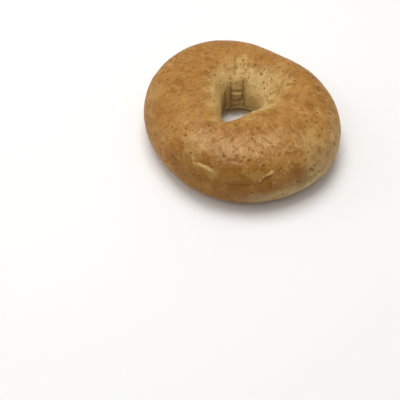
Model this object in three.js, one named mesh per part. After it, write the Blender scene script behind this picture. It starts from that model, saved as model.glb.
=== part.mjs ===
// A wheat bagel, whole: a ring of boiled and baked dough that was rolled and joined by hand,
// so its outline, its hole and its height all wander.
//
// Millimetres, +Z up. The bagel lies on its flat underside at z = 0 with its glossy side up,
// and the origin is under the middle of its outline. The ring is a loft of upright sections.
// Each section runs from the hole's wall over the crest to the rim and back underneath.

import * as THREE from 'three';
import { LoftGeometry } from 'three/addons/geometries/LoftGeometry.js';

// Driving dimensions.

// Twelve stations round the ring, 30 degrees apart, anticlockwise from +X.
//   rim     radius of the outline
//   hole    the point of the hole's narrowest outline that faces the station
//   height  height of the crest
//   crest   place of the crest, as a part of the way from the hole to the rim
//   lip     roundness of the ring's slope into the hole: 1 is a straight bevel, 2 an ellipse,
//           and more is a steep wall with a flat shoulder
const STATIONS = [
  { rim: 54.1, hole: [11.5, 9.5], height: 30.5, crest: 0.52, lip: 1.8 },
  { rim: 50.6, hole: [9.3, 12.8], height: 30.5, crest: 0.51, lip: 1.9 },
  { rim: 49.4, hole: [4.8, 15.2], height: 30.0, crest: 0.48, lip: 2.0 },
  { rim: 55.3, hole: [-1.5, 15.9], height: 30.0, crest: 0.46, lip: 2.2 },
  { rim: 59.0, hole: [-7.5, 15.2], height: 30.0, crest: 0.42, lip: 2.6 },
  { rim: 56.3, hole: [-9.6, 10.5], height: 30.5, crest: 0.38, lip: 3.2 },
  { rim: 52.1, hole: [-9.9, 3.0], height: 31.5, crest: 0.36, lip: 3.6 },
  { rim: 48.7, hole: [-9.5, -5.4], height: 32.5, crest: 0.38, lip: 3.2 },
  { rim: 49.2, hole: [-7.4, -10.2], height: 33.0, crest: 0.42, lip: 2.8 },
  { rim: 51.1, hole: [-2.6, -6.2], height: 33.0, crest: 0.46, lip: 2.6 },
  { rim: 53.3, hole: [4.0, 1.0], height: 32.5, crest: 0.48, lip: 2.3 },
  { rim: 55.6, hole: [10.0, 5.2], height: 31.5, crest: 0.5, lip: 2.0 },
];

// Height of the widest part of the outer side and of the hole's narrowest part, as parts of
// the crest's height.
const RIM_WAIST = 0.42;
const HOLE_WAIST = 0.3;

// Roundness of the other three quarters of a section, on the same scale as lip.
const SHOULDER_ROUNDNESS = 2.2;
const OUTER_FOOT_ROUNDNESS = 2.6;
const INNER_FOOT_ROUNDNESS = 2.4;

// How far the round of the underside was pressed below the baking surface, which cut it flat.
const FLATTENED = 1.6;

// Place of the lowest point of that round, as a part of the way from the hole to the rim.
const FOOT = 0.5;

// Swells (rise above 0) and tucks (below 0) of the dough.
//   around  place round the ring in degrees, anticlockwise from +X
//   over    place round the section by length: 0 hole, 0.25 crest, 0.5 rim, 0.75 underside
//   size    half-lengths of the swell in millimetres, along the ring and across it
//   turned  how far the swell is turned out of the ring's direction, in degrees
const SWELLS = [
  // Where the rolled ends were pinched together, two tucks run down the hole's far wall with
  // the end of the roll standing between them, and a short crease runs over the lip.
  { around: 75, over: 0.07, size: [1.8, 10], turned: 0, rise: -2.4 },
  { around: 104, over: 0.06, size: [1.6, 8], turned: 0, rise: -1.4 },
  { around: 90, over: 0.03, size: [5, 1.8], turned: 0, rise: -0.9 },
  { around: 92.5, over: 0.21, size: [1.2, 5], turned: 0, rise: -0.9 },
  // The crust of the front split along a shallow line and left a lip above it.
  { around: 244, over: 0.44, size: [9, 2.4], turned: -22, rise: -0.7 },
  { around: 265, over: 0.49, size: [7, 2.4], turned: 0, rise: -0.8 },
  { around: 282, over: 0.455, size: [9, 2.4], turned: 18, rise: -0.6 },
  { around: 262, over: 0.42, size: [16, 5], turned: 0, rise: 0.5 },
  // Lumps and hollows left by shaping.
  { around: 212, over: 0.4, size: [14, 9], turned: 0, rise: 0.6 },
  { around: 318, over: 0.42, size: [12, 9], turned: 0, rise: 0.5 },
  { around: 350, over: 0.36, size: [9, 12], turned: 0, rise: -0.6 },
  { around: 35, over: 0.36, size: [12, 8], turned: 30, rise: 0.5 },
  { around: 120, over: 0.34, size: [14, 8], turned: -20, rise: -0.5 },
  { around: 165, over: 0.3, size: [15, 9], turned: 0, rise: 0.5 },
];

const RING_STEPS = 120;
const SECTION_STEPS = 44;

// A step round the ring that is short enough to give its direction, as a part of a turn.
const SMALL_TURN = 0.002;

const CRUST_COLOUR = 0xb08045;
const CRUST_ROUGHNESS = 0.5;

// A smooth closed run through one value of every station, read at a part of a whole turn.
function roundTheRing(valueOf) {
  const values = STATIONS.map((station) => new THREE.Vector3(valueOf(station), 0, 0));
  const run = new THREE.CatmullRomCurve3(values, true, 'catmullrom');
  return (turn) => run.getPoint(turn).x;
}

const holeCurve = new THREE.CatmullRomCurve3(
  STATIONS.map(({ hole }) => new THREE.Vector3(hole[0], hole[1], 0)),
  true,
  'catmullrom',
);
const rimRadiusAt = roundTheRing((station) => station.rim);
const heightAt = roundTheRing((station) => station.height);
const crestAt = roundTheRing((station) => station.crest);
const lipAt = roundTheRing((station) => station.lip);

// The point of the outline at a part of a turn.
function rimPoint(turn) {
  const angle = turn * 2 * Math.PI;
  const radius = rimRadiusAt(turn);
  return new THREE.Vector3(radius * Math.cos(angle), radius * Math.sin(angle), 0);
}

// One quarter of a section: a superellipse from a waist (angle 0) to a crest or a foot
// (a quarter turn), with the given roundness.
function quarterPoint(angle, roundness, [waist, waistHeight], [crest, crestHeight]) {
  const power = 2 / roundness;
  const out = Math.abs(Math.cos(angle)) ** power;
  const up = Math.abs(Math.sin(angle)) ** power;
  return [crest + (waist - crest) * out, waistHeight + (crestHeight - waistHeight) * up];
}

// The closed outline of the dough, cut upright at a part of a turn round the ring.
class DoughSection extends THREE.Curve {
  constructor(turn) {
    super();
    this.arcLengthDivisions = 400;
    this.inner = holeCurve.getPoint(turn);
    this.across = rimPoint(turn).sub(this.inner);
    this.width = this.across.length();
    this.across.normalize();
    this.height = heightAt(turn);
    this.crest = crestAt(turn) * this.width;
    this.lip = lipAt(turn);
  }

  getPoint(over, target = new THREE.Vector3()) {
    const angle = over * 2 * Math.PI;
    const quarter = Math.min(Math.floor(over * 4), 3);
    const holeWaist = [0, HOLE_WAIST * this.height];
    const rimWaist = [this.width, RIM_WAIST * this.height];
    const top = [this.crest, this.height];
    const foot = [FOOT * this.width, -FLATTENED];
    const quarters = [
      () => quarterPoint(angle, this.lip, holeWaist, top),
      () => quarterPoint(angle, SHOULDER_ROUNDNESS, rimWaist, top),
      () => quarterPoint(angle, OUTER_FOOT_ROUNDNESS, rimWaist, foot),
      () => quarterPoint(angle, INNER_FOOT_ROUNDNESS, holeWaist, foot),
    ];
    const [out, up] = quarters[quarter]();
    return target.copy(this.across).multiplyScalar(out).add(this.inner).setZ(up);
  }
}

// A swell with the frame that it is measured in: its middle on the plain ring, and the
// directions of its length and its width there.
function placeSwell({ around, over, size, turned, rise }) {
  const turn = THREE.MathUtils.euclideanModulo(around / 360, 1);
  const section = new DoughSection(turn);
  const middle = section.getPointAt(over);
  const across = section.getTangentAt(over);
  const onward = new DoughSection(turn + SMALL_TURN).getPointAt(over).sub(middle);
  const outward = new THREE.Vector3().crossVectors(across, onward).normalize();
  const lengthwise = new THREE.Vector3().crossVectors(outward, across);
  const angle = THREE.MathUtils.degToRad(turned);
  lengthwise.applyAxisAngle(outward, angle);
  across.applyAxisAngle(outward, angle);
  return { middle, axes: [lengthwise, across, outward], reach: [...size, Math.max(...size)], rise };
}

const placedSwells = SWELLS.map(placeSwell);

// How far the dough stands out of the plain ring at a point of it.
function swellAt(point) {
  return placedSwells.reduce((total, { middle, axes, reach, rise }) => {
    const offset = point.clone().sub(middle);
    const parts = axes.map((axis, index) => offset.dot(axis) / reach[index]);
    const distance = parts.reduce((sum, part) => sum + part ** 2, 0);
    return total + rise * Math.exp(-distance);
  }, 0);
}

// The outward direction of a section at one of its points, from the points beside it.
function outwardAt(section, points, index) {
  const before = points[(index + points.length - 1) % points.length];
  const after = points[(index + 1) % points.length];
  const run = after.clone().sub(before);
  const out = run.dot(section.across);
  return section.across.clone().multiplyScalar(-run.z).setZ(out).normalize();
}

function ringSection(turn) {
  const section = new DoughSection(turn);
  const plain = section.getSpacedPoints(SECTION_STEPS).slice(0, SECTION_STEPS);
  return plain.map((point, index) => {
    const swollen = outwardAt(section, plain, index).multiplyScalar(swellAt(point)).add(point);
    return swollen.setZ(Math.max(swollen.z, 0));
  });
}

function bagelGeometry() {
  const sections = Array.from({ length: RING_STEPS }, (_, step) => ringSection(step / RING_STEPS));
  sections.push(sections[0].map((point) => point.clone()));
  const geometry = new LoftGeometry(sections);
  geometry.computeBoundingBox();
  const middle = geometry.boundingBox.getCenter(new THREE.Vector3());
  return geometry.translate(-middle.x, -middle.y, 0);
}

const crust = new THREE.MeshStandardMaterial({
  color: CRUST_COLOUR,
  roughness: CRUST_ROUGHNESS,
  metalness: 0,
});

const bagel = new THREE.Mesh(bagelGeometry(), crust);
bagel.name = 'bagel';

const group = new THREE.Group();
group.add(bagel);

export default group;
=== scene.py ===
# %% [markdown]
# # A wheat bagel
# A bagel is a rope of yeast dough that is rolled out, joined into a ring, boiled and then baked.
# Boiling sets a thin skin before the oven can stretch it, so the crust is smooth and half glossy,
# with blisters, short tears and specks of bran. It could be sculpted by hand or scanned. Here it
# is grown by rules in real sizes, so that each of them can be read and changed. The lesson
# dresses the bare ring of dough with that skin, and then lights it on a pale table.

# %% Load the plain dough
import math

import bmesh
import bpy
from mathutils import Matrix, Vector


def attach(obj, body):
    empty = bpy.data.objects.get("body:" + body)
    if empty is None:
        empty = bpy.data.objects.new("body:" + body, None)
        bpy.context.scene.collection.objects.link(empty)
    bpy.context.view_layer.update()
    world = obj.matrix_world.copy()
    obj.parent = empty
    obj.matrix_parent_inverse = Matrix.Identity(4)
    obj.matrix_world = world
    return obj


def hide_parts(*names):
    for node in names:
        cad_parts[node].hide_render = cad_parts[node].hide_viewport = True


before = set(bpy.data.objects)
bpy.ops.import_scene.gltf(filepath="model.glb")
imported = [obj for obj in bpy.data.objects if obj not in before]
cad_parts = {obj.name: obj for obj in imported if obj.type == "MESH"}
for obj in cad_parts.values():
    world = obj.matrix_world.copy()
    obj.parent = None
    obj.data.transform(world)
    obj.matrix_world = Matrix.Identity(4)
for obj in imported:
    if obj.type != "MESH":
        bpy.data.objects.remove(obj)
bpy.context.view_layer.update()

plain_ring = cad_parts["bagel"]

# %% [markdown]
# ## Units and colours
# Blender counts in metres, but a baker's eye counts in millimetres, so sizes are written in
# millimetres and turned. Colours are written as the hex values that a colour picker shows.
# Shaders need linear light instead. Each colour could be turned by hand, but one function does
# it for all of them and can't forget one.

# %% Millimetres and hex colours
MM = 0.001


def linear(hex_colour):
    """An sRGB hex colour as linear red, green, blue and a full alpha."""
    channels = [int(hex_colour[at : at + 2], 16) / 255 for at in (1, 3, 5)]
    turned = [c / 12.92 if c <= 0.04045 else ((c + 0.055) / 1.055) ** 2.4 for c in channels]
    return (*turned, 1.0)


print("a screen's middle grey in linear light", round(linear("#808080")[0], 3))

# %% [markdown]
# ## One helper for every tree
# Shader trees and geometry trees are both nodes joined by links. Writing each link on a line of
# its own hides the recipe, so one function adds a node, fills its sockets with values or with
# other nodes' outputs, and hands back the output that is wanted.

# %% A node with its settings and links
def add(tree, kind, inputs=None, give=0, **settings):
    """Adds a node to a tree. An input is a value or another node's output socket."""
    made = tree.nodes.new(kind)
    for name, value in settings.items():
        setattr(made, name, value)
    for socket, value in (inputs or {}).items():
        if isinstance(value, bpy.types.NodeSocket):
            tree.links.new(value, made.inputs[socket])
        else:
            made.inputs[socket].default_value = value
    return made.outputs[give] if made.outputs else made


print("every node below is made by", add.__name__)

# %% [markdown]
# ### Rows of values
# Most sums in these trees are rows: heights that are added, shares that are multiplied, and
# masks of which the strongest wins. Every node of a row could be written out. One loop that
# carries an operation along the row says the same on one line.

# %% A row joined by one operation
def combined(tree, operation, *values):
    """Numbers and sockets joined in a row by one operation."""
    result, *others = values
    for value in others:
        result = add(tree, "ShaderNodeMath", {0: result, 1: value}, operation=operation)
    return result


print("rows of values are joined by", combined.__name__)

# %% [markdown]
# ### Soft edges
# Nothing on a crust starts at a hard line. A patch may be bounded by its height, by a side and by
# a distance, and each of these is an edge that eases from nothing to whole. Where a place has
# several edges, their shares are multiplied, so it shows only inside all of them. An edge is
# written as its start, its end and, where these aren't 0 and 1, the shares at both.

# %% The share inside soft edges
def eased(tree, *edges):
    """The share inside soft edges: each has a value, its start, its end and its two shares."""
    shares = []
    for value, start, end, *ends in edges:
        weak, strong = ends or (0.0, 1.0)
        share = add(
            tree,
            "ShaderNodeMapRange",
            {0: value, 1: start, 2: end, 3: weak, 4: strong},
            interpolation_type="SMOOTHSTEP",
        )
        shares.append(share)
    return combined(tree, "MULTIPLY", *shares)


print("edges are softened by", eased.__name__)

# %% [markdown]
# ### Strays
# Nothing on dough lies quite where a rule would put it. A noise gives each place a push that
# changes slowly, and the push moves a position. A pattern that reads the moved position comes
# out uneven, which is quicker than drawing each bend and easier to tune.

# %% A position pushed about by noise
NOISE_MIDDLE = 0.5


def strayed(tree, place, size, detail, reach, onto, seed=None):
    """A position moved by up to half the reach each way, over a real size in millimetres."""
    inputs = {"Vector": place, "Scale": 1 / size, "Detail": detail}
    if seed is not None:
        inputs["W"] = seed
    dimensions = "3D" if seed is None else "4D"
    noise = add(tree, "ShaderNodeTexNoise", inputs, give="Color", noise_dimensions=dimensions)
    push = add(
        tree, "ShaderNodeVectorMath", {0: noise, 1: (NOISE_MIDDLE,) * 3}, operation="SUBTRACT"
    )
    return add(
        tree, "ShaderNodeVectorMath", {0: push, 1: (reach,) * 3, 2: onto}, operation="MULTIPLY_ADD"
    )


print("straight things are bent by", strayed.__name__)

# %% [markdown]
# ## The dough's surface, ready to be shaped
# The plain ring arrives as loose triangles. A skin with folds and blisters needs a surface that
# can be divided smoothly. A voxel remesh would do, but it would round off the flat base. So a
# copy is merged and its triangles are paired back into the quads that run along and across the
# ring. The copy is what the relief will grow on.

# %% A merged copy in quads
MERGE_DISTANCE = 0.001 * MM


def quad_copy(source, name):
    """A new mesh object with the source's shape, merged and with its triangles paired."""
    shape = bmesh.new()
    shape.from_mesh(source.data)
    bmesh.ops.remove_doubles(shape, verts=shape.verts, dist=MERGE_DISTANCE)
    bmesh.ops.join_triangles(
        shape,
        faces=shape.faces,
        angle_face_threshold=math.pi,
        angle_shape_threshold=math.pi,
    )
    mesh = bpy.data.meshes.new(name)
    shape.to_mesh(mesh)
    shape.free()
    piece = bpy.data.objects.new(name, mesh)
    bpy.context.scene.collection.objects.link(piece)
    return piece


bagel = quad_copy(plain_ring, "baked_bagel")
corners = [len(face.vertices) for face in bagel.data.polygons]
print("quads", corners.count(4), "triangles left", corners.count(3))

# %% [markdown]
# ## Where the skin tore and creased
# Some marks are too particular to be left to chance. Low on the front, steam pushed through the
# set skin and left two short tears, and handling left a few creases. They could be cut into the
# mesh by hand. A bent line for each is simpler to move: a start, a bend and an end, and where it
# goes on, one more bend and end. The relief lays the lines on the dough, so they only need to be
# near its surface. A tear also has hearts where it gapes: a place, a reach and a width.

# %% Tears and creases, in millimetres
TEARS = [
    [(-26.0, -38.6, 26.6), (-26.6, -40.9, 24.8), (-23.5, -41.7, 25.5),
     (-18.9, -43.4, 26.0), (-14.8, -46.7, 24.5)],
    [(13.7, -46.9, 26.0), (12.8, -47.9, 25.3), (11.7, -48.2, 25.0),
     (9.0, -49.0, 24.6), (7.4, -50.6, 22.9)],
]
TEAR_HEARTS = [
    ((-20.4, -43.6, 25.4), 6.0, 1.0),
    ((13.1, -47.3, 25.7), 2.0, 1.0),
    ((7.6, -50.4, 23.1), 1.0, 0.3),
]
CREASES = [
    [(-2.8, 31.0, 29.8), (-3.4, 25.0, 28.0), (-2.9, 20.0, 25.7)],
    [(24.4, 9.6, 29.0), (25.5, 9.4, 29.4), (26.8, 9.0, 29.8)],
    [(25.3, 1.4, 28.8), (27.5, 1.3, 29.6), (29.6, 0.7, 30.0)],
    [(18.9, 5.9, 24.6), (20.6, 9.4, 27.2), (23.4, 12.8, 29.6)],
    [(-23.0, -41.2, 26.1), (-19.4, -43.0, 26.6), (-16.4, -45.1, 26.2)],
    [(14.4, -48.4, 24.5), (11.4, -49.8, 23.5), (8.7, -51.2, 22.2)],
    [(-9.8, -50.6, 20.6), (-3.0, -51.8, 20.0), (2.9, -51.9, 21.0)],
    [(23.4, -49.4, 16.8), (30.0, -46.6, 15.4), (37.4, -41.3, 15.8)],
    [(-8.4, -43.6, 29.8), (-5.4, -43.3, 30.1), (-2.0, -44.4, 29.4)],
    [(-12.4, -37.3, 31.9), (-11.6, -39.6, 31.2), (-10.4, -41.6, 30.6)],
    [(-15.6, -30.4, 32.8), (-16.2, -31.4, 32.8), (-16.0, -32.8, 32.6)],
    [(8.8, -29.6, 32.7), (10.6, -30.8, 32.6), (12.2, -32.4, 32.2)],
]
print(len(TEARS), "tears and", len(CREASES), "creases")

# %% [markdown]
# ## The seam in the hole
# The rolled ends of the rope were pinched together, and the seam shows in the hole's far wall:
# two grooves down it, two across, a hollow above them and a low bar under each cross groove. It
# is drawn by bent lines as well, because the plain dough has only its two broad tucks. The hollow
# is a place with a reach each way.

# %% Grooves, hollow and bars of the seam, in millimetres
SEAM_GROOVES = [
    [(1.8, 18.4, 22.6), (1.4, 17.0, 18.6), (1.4, 16.2, 14.0),
     (1.5, 15.0, 10.4), (2.8, 13.4, 5.5)],
    [(-5.4, 17.2, 22.3), (-5.7, 15.8, 16.0), (-5.6, 14.2, 6.1)],
    [(-5.3, 15.6, 17.2), (-2.2, 14.4, 18.0), (1.0, 16.2, 16.8)],
    [(-5.2, 14.9, 11.1), (-2.0, 14.0, 11.4), (1.2, 15.3, 10.7)],
]
SEAM_HOLLOW = (-2.0, 15.2, 20.4)
SEAM_HOLLOW_REACH = (3.2, 3.2, 3.0)
SEAM_RIDGES = [
    [(-5.0, 15.3, 15.5), (-2.0, 14.5, 15.9), (0.9, 15.9, 14.6)],
    [(-5.0, 14.2, 9.3), (-1.8, 13.9, 9.5), (0.6, 14.6, 9.0)],
]
print(len(SEAM_GROOVES), "grooves and", len(SEAM_RIDGES), "bars in the seam")

# %% [markdown]
# ## Folds and crinkles
# A fold is a low ridge where the skin was pushed together. Crinkles are fine ripples in patches
# about as wide as a fingertip, where the skin shrank most. The folds are bent lines, and each
# crinkled patch is only a middle and a width: its ripples come from noise.

# %% Folds and crinkled patches, in millimetres
FOLDS = [
    [(-43.8, 4.0, 27.6), (-40.0, 6.5, 29.4), (-36.3, 7.6, 30.4)],
    [(-36.3, 7.6, 30.4), (-34.0, 5.0, 31.0), (-33.4, 1.0, 31.3)],
    [(18.7, 3.4, 24.6), (22.4, 10.6, 28.6), (26.6, 18.0, 30.8)],
]
CRINKLED_PATCHES = [
    ((-30.8, -22.5, 31.0), 8.0),
    ((-7.0, -37.5, 31.6), 8.0),
    ((6.0, -38.0, 31.3), 8.0),
    ((12.0, -35.5, 31.4), 5.0),
    ((17.5, -30.5, 31.8), 5.0),
    ((24.0, -11.0, 31.5), 7.0),
    ((4.0, 26.0, 29.0), 6.0),
    ((12.0, 13.0, 24.0), 7.0),
    ((-22.0, 20.0, 31.0), 7.0),
]
print(len(FOLDS), "folds and", len(CRINKLED_PATCHES), "crinkled patches")

# %% [markdown]
# ## The relief of the crust
# A baked skin has relief at several sizes at once: broad lumps from rolling, dimples, patches of
# fine wrinkles where it shrank, and blisters from the boil. Sculpting these by hand would never
# come out even, and a bump map alone would leave the outline smooth. A Geometry Nodes tree does
# it by rule: it divides the surface, adds up the heights of all the features at each point, and
# moves the point along its normal. Its inputs are the real sizes, in millimetres.

# %% Sizes of the relief, in millimetres
RELIEF_SIZES = {
    "Lump size": 17.0,
    "Lump height": 0.35,
    "Dimple size": 5.5,
    "Dimple height": 0.26,
    "Wrinkle size": 2.6,
    "Wrinkle height": 0.11,
    "Crinkle size": 1.9,
    "Crinkle height": 0.1,
    "Shrink line spacing": 6.0,
    "Shrink line width": 0.55,
    "Shrink line height": 0.07,
    "Blister spacing": 4.6,
    "Blister radius": 1.3,
    "Blister height": 0.2,
    "Pit spacing": 4.4,
    "Pit radius": 0.8,
    "Pit depth": 0.24,
    "Tear width": 0.65,
    "Tear height": 0.5,
    "Crease width": 0.6,
    "Crease depth": 0.45,
    "Seam width": 0.7,
    "Seam depth": 0.9,
    "Seam ridge width": 1.1,
    "Seam ridge height": 0.2,
    "Fold width": 0.9,
    "Fold height": 0.14,
}
RELIEF_SEED = 7
RELIEF_LEVELS = 2
print(len(RELIEF_SIZES), "sizes and seed", RELIEF_SEED)

# %% [markdown]
# ### An empty tree with named inputs
# The numbers could be typed into the nodes, but then they would be hard to find again. Each size
# becomes a named input of the tree instead, so that the same tree can grow a rougher or a
# smoother crust.

# %% The relief tree and its inputs
relief = bpy.data.node_groups.new("crust relief", "GeometryNodeTree")
relief.interface.new_socket("Dough", in_out="INPUT", socket_type="NodeSocketGeometry")
for size_name in RELIEF_SIZES:
    relief.interface.new_socket(size_name, in_out="INPUT", socket_type="NodeSocketFloat")
relief.interface.new_socket("Seed", in_out="INPUT", socket_type="NodeSocketFloat")
relief.interface.new_socket("Levels", in_out="INPUT", socket_type="NodeSocketInt")
relief.interface.new_socket("Crust", in_out="INPUT", socket_type="NodeSocketMaterial")
relief.interface.new_socket("Bagel", in_out="OUTPUT", socket_type="NodeSocketGeometry")
given = relief.nodes.new("NodeGroupInput").outputs
print("relief inputs", [socket.name for socket in relief.interface.items_tree])

# %% [markdown]
# ### Dividing the surface and measuring it in millimetres
# Baked dough is smooth between its marks, so the surface needs far more points than the plain
# ring has. Divided twice, it has one about every 0.7 mm, which is fine enough for a blister.
# Every pattern reads the same position, in millimetres, so that its scale is one over a real
# size. A slow wander of that position keeps the round features from looking stamped.

# %% Fine surface, millimetre position and wander
WANDER_SIZE = 4.0
WANDER_REACH = 1.6

smooth_dough = add(
    relief,
    "GeometryNodeSubdivisionSurface",
    {"Mesh": given["Dough"], "Level": given["Levels"]},
)
metres = add(relief, "GeometryNodeInputPosition")
place = add(relief, "ShaderNodeVectorMath", {0: metres, "Scale": 1 / MM}, operation="SCALE")
wandered = strayed(
    relief,
    place,
    size=WANDER_SIZE,
    detail=1.0,
    reach=WANDER_REACH,
    onto=place,
    seed=given["Seed"],
)
print("features stray by up to", WANDER_REACH / 2, "mm")

# %% [markdown]
# ### Lumps, dimples and wrinkles
# Rolled dough swells unevenly, so broad noise lifts and lowers the whole skin. Smaller noise
# makes dimples. Wrinkles are ridged noise, which has sharp crests and round valleys as a shrunk
# skin does, and a mask lets them come in patches only. Each noise takes its own seed, so that
# none of them repeats another.

# %% Noise features
WRINKLED_FROM = 0.48
WRINKLED_FULL = 0.62


def noise_feature(size, detail, own_seed, kind="FBM"):
    """A noise of a real size in millimetres, from about 0 to 1, at the wandered position."""
    per_mm = combined(relief, "DIVIDE", 1.0, size)
    return add(
        relief,
        "ShaderNodeTexNoise",
        {
            "Vector": wandered,
            "W": combined(relief, "ADD", given["Seed"], own_seed),
            "Scale": per_mm,
            "Detail": detail,
        },
        noise_dimensions="4D",
        noise_type=kind,
    )


def raised(feature, height):
    """A feature turned into millimetres of rise: none at its middle, the whole height at 1."""
    centred = combined(relief, "SUBTRACT", feature, NOISE_MIDDLE)
    return combined(relief, "MULTIPLY", centred, 2.0, height)


lump_noise = noise_feature(given["Lump size"], detail=1.0, own_seed=0.0)
lumps = raised(lump_noise, given["Lump height"])
dimple_noise = noise_feature(given["Dimple size"], detail=2.0, own_seed=11.0)
dimples = raised(dimple_noise, given["Dimple height"])
wrinkle_noise = noise_feature(
    given["Wrinkle size"], detail=2.0, own_seed=23.0, kind="RIDGED_MULTIFRACTAL"
)
wrinkle_mask = noise_feature(given["Lump size"], detail=1.0, own_seed=31.0)
wrinkle_patch = eased(relief, (wrinkle_mask, WRINKLED_FROM, WRINKLED_FULL))
wrinkle_rise = raised(wrinkle_noise, given["Wrinkle height"])
wrinkles = combined(relief, "MULTIPLY", wrinkle_rise, wrinkle_patch)
print("relief nodes so far", len(relief.nodes))

# %% [markdown]
# ### Crinkled patches
# A few places dried fastest and drew up into fine crinkles, like the skin on cooled milk. A mask
# of noise would put them anywhere. So the same ridged noise, at a smaller size, is let through
# only near the middles listed above. The distance to a middle is read from the wandered
# position, so no patch is a disc.

# %% Crinkles
CRINKLE_EDGE = 1.2
CRINKLE_CORE = 0.4

crinkle_shares = []
for middle, width in CRINKLED_PATCHES:
    off_middle = add(
        relief, "ShaderNodeVectorMath", {0: wandered, 1: middle}, give="Value", operation="DISTANCE"
    )
    crinkle_shares.append(
        eased(relief, (off_middle, width * CRINKLE_EDGE, width * CRINKLE_CORE))
    )
crinkled = combined(relief, "MAXIMUM", *crinkle_shares)
crinkle_noise = noise_feature(
    given["Crinkle size"], detail=1.0, own_seed=61.0, kind="RIDGED_MULTIFRACTAL"
)
crinkles = combined(relief, "MULTIPLY", raised(crinkle_noise, given["Crinkle height"]), crinkled)
print("crinkles in", len(crinkle_shares), "patches")

# %% [markdown]
# ### Shrink lines
# Where the skin dried and drew together it stands in thin lines that meet, as the borders of
# Voronoi cells do. They could be drawn one by one like the creases, but there are too many. The
# bell gives each line a round profile that fades to both sides, and a noise lets the lines come
# and go, so that no cell shows whole.

# %% Thin lines that meet
SHRINK_FROM = 0.42
SHRINK_FULL = 0.62


def bell(distance, width, middle=0.0):
    """1 at a distance of middle from a line, and falling to 0 over about two widths."""
    off = combined(relief, "SUBTRACT", distance, middle)
    part = combined(relief, "DIVIDE", off, width)
    minus = combined(relief, "MULTIPLY", part, part, -1.0)
    return add(relief, "ShaderNodeMath", {0: minus}, operation="EXPONENT")


lines_per_mm = combined(relief, "DIVIDE", 1.0, given["Shrink line spacing"])
to_line = add(
    relief,
    "ShaderNodeTexVoronoi",
    {"Vector": wandered, "Scale": lines_per_mm},
    give="Distance",
    feature="DISTANCE_TO_EDGE",
)
line_away = combined(relief, "MULTIPLY", to_line, given["Shrink line spacing"])
fade_noise = noise_feature(given["Dimple size"], detail=1.0, own_seed=41.0)
line_fade = eased(relief, (fade_noise, SHRINK_FROM, SHRINK_FULL))
shrink_line = combined(relief, "MULTIPLY", bell(line_away, given["Shrink line width"]), line_fade)
shrink_lines = combined(relief, "MULTIPLY", shrink_line, given["Shrink line height"])
print("relief nodes so far", len(relief.nodes))

# %% [markdown]
# ### Blisters and pits
# Gas just under the skin lifts small domes, and burst ones leave pits. Placing them one by one
# would take hundreds of points. Cells of a Voronoi pattern scatter them evenly without a grid,
# and each cell's own random colour decides whether it has a dome and how wide that dome is, so
# no two match.

# %% Domes in the cells of a scatter
BLISTER_SHARE = 0.45
PIT_SHARE = 0.4
NARROWEST_DOME = 0.45
WIDEST_DOME = 1.3


def scattered_domes(spacing, radius, share, own_seed):
    """Domes from 0 to 1 high: one in some cells of a scatter, each of its own width."""
    per_mm = combined(relief, "DIVIDE", 1.0, spacing)
    own_shift = combined(relief, "MULTIPLY", given["Seed"], own_seed)
    own_place = add(relief, "ShaderNodeVectorMath", {0: wandered, 1: own_shift}, operation="ADD")
    cells = add(relief, "ShaderNodeTexVoronoi", {"Vector": own_place, "Scale": per_mm}).node
    chances = add(relief, "FunctionNodeSeparateColor", {0: cells.outputs["Color"]}).node
    apart = combined(relief, "MULTIPLY", cells.outputs["Distance"], spacing)
    width = add(
        relief,
        "ShaderNodeMapRange",
        {0: chances.outputs["Green"], 3: NARROWEST_DOME, 4: WIDEST_DOME},
    )
    part = combined(relief, "DIVIDE", apart, combined(relief, "MULTIPLY", radius, width))
    present = combined(relief, "LESS_THAN", chances.outputs["Red"], share)
    return combined(relief, "MULTIPLY", eased(relief, (part, 1.0, 0.0)), present)


blister_domes = scattered_domes(
    given["Blister spacing"], given["Blister radius"], BLISTER_SHARE, own_seed=31.0
)
pit_domes = scattered_domes(
    given["Pit spacing"], given["Pit radius"], PIT_SHARE, own_seed=53.0
)
blisters = combined(relief, "MULTIPLY", blister_domes, given["Blister height"])
pits = combined(relief, "MULTIPLY", pit_domes, given["Pit depth"])
print("blisters in", BLISTER_SHARE, "and pits in", PIT_SHARE, "of their cells")

# %% [markdown]
# ### Lines laid on the dough
# Tears, creases and folds are lines in the skin. They could be painted on the mesh by hand, but
# then they would have to be painted again for every change of the ring. Here each line becomes a
# curve, then a chain of edges whose points are moved to the nearest place on the dough.

# %% Chains of edges on the dough
LINE_POINTS = 24


def lines_on_dough(lines):
    """Each bent line as a chain of edges that lies on the dough."""
    bundle = relief.nodes.new("GeometryNodeJoinGeometry")
    bends = [line[at : at + 3] for line in lines for at in range(0, len(line) - 2, 2)]
    for start, bend, end in bends:
        curve = add(
            relief,
            "GeometryNodeCurveQuadraticBezier",
            {
                "Resolution": LINE_POINTS,
                "Start": Vector(start) * MM,
                "Middle": Vector(bend) * MM,
                "End": Vector(end) * MM,
            },
        )
        relief.links.new(curve, bundle.inputs[0])
    chain = add(relief, "GeometryNodeCurveToMesh", {"Curve": bundle.outputs[0]})
    on_dough = add(
        relief,
        "GeometryNodeProximity",
        {0: smooth_dough},
        give="Position",
        target_element="FACES",
    )
    return add(relief, "GeometryNodeSetPosition", {"Geometry": chain, "Position": on_dough})


print("each bend has", LINE_POINTS, "points")

# %% [markdown]
# ### The ragged distance to a line
# Geometry Proximity gives every point of the surface its distance to the nearest chain, and a
# bell of that distance is the line's profile. The distance is read from a position that strays,
# because skin never tears straight.

# %% Distance to the nearest line
RAGGED_SIZE = 1.6
RAGGED_REACH = 1.3

ragged_place = strayed(
    relief, place, size=RAGGED_SIZE, detail=1.0, reach=RAGGED_REACH * MM, onto=metres
)


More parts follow.
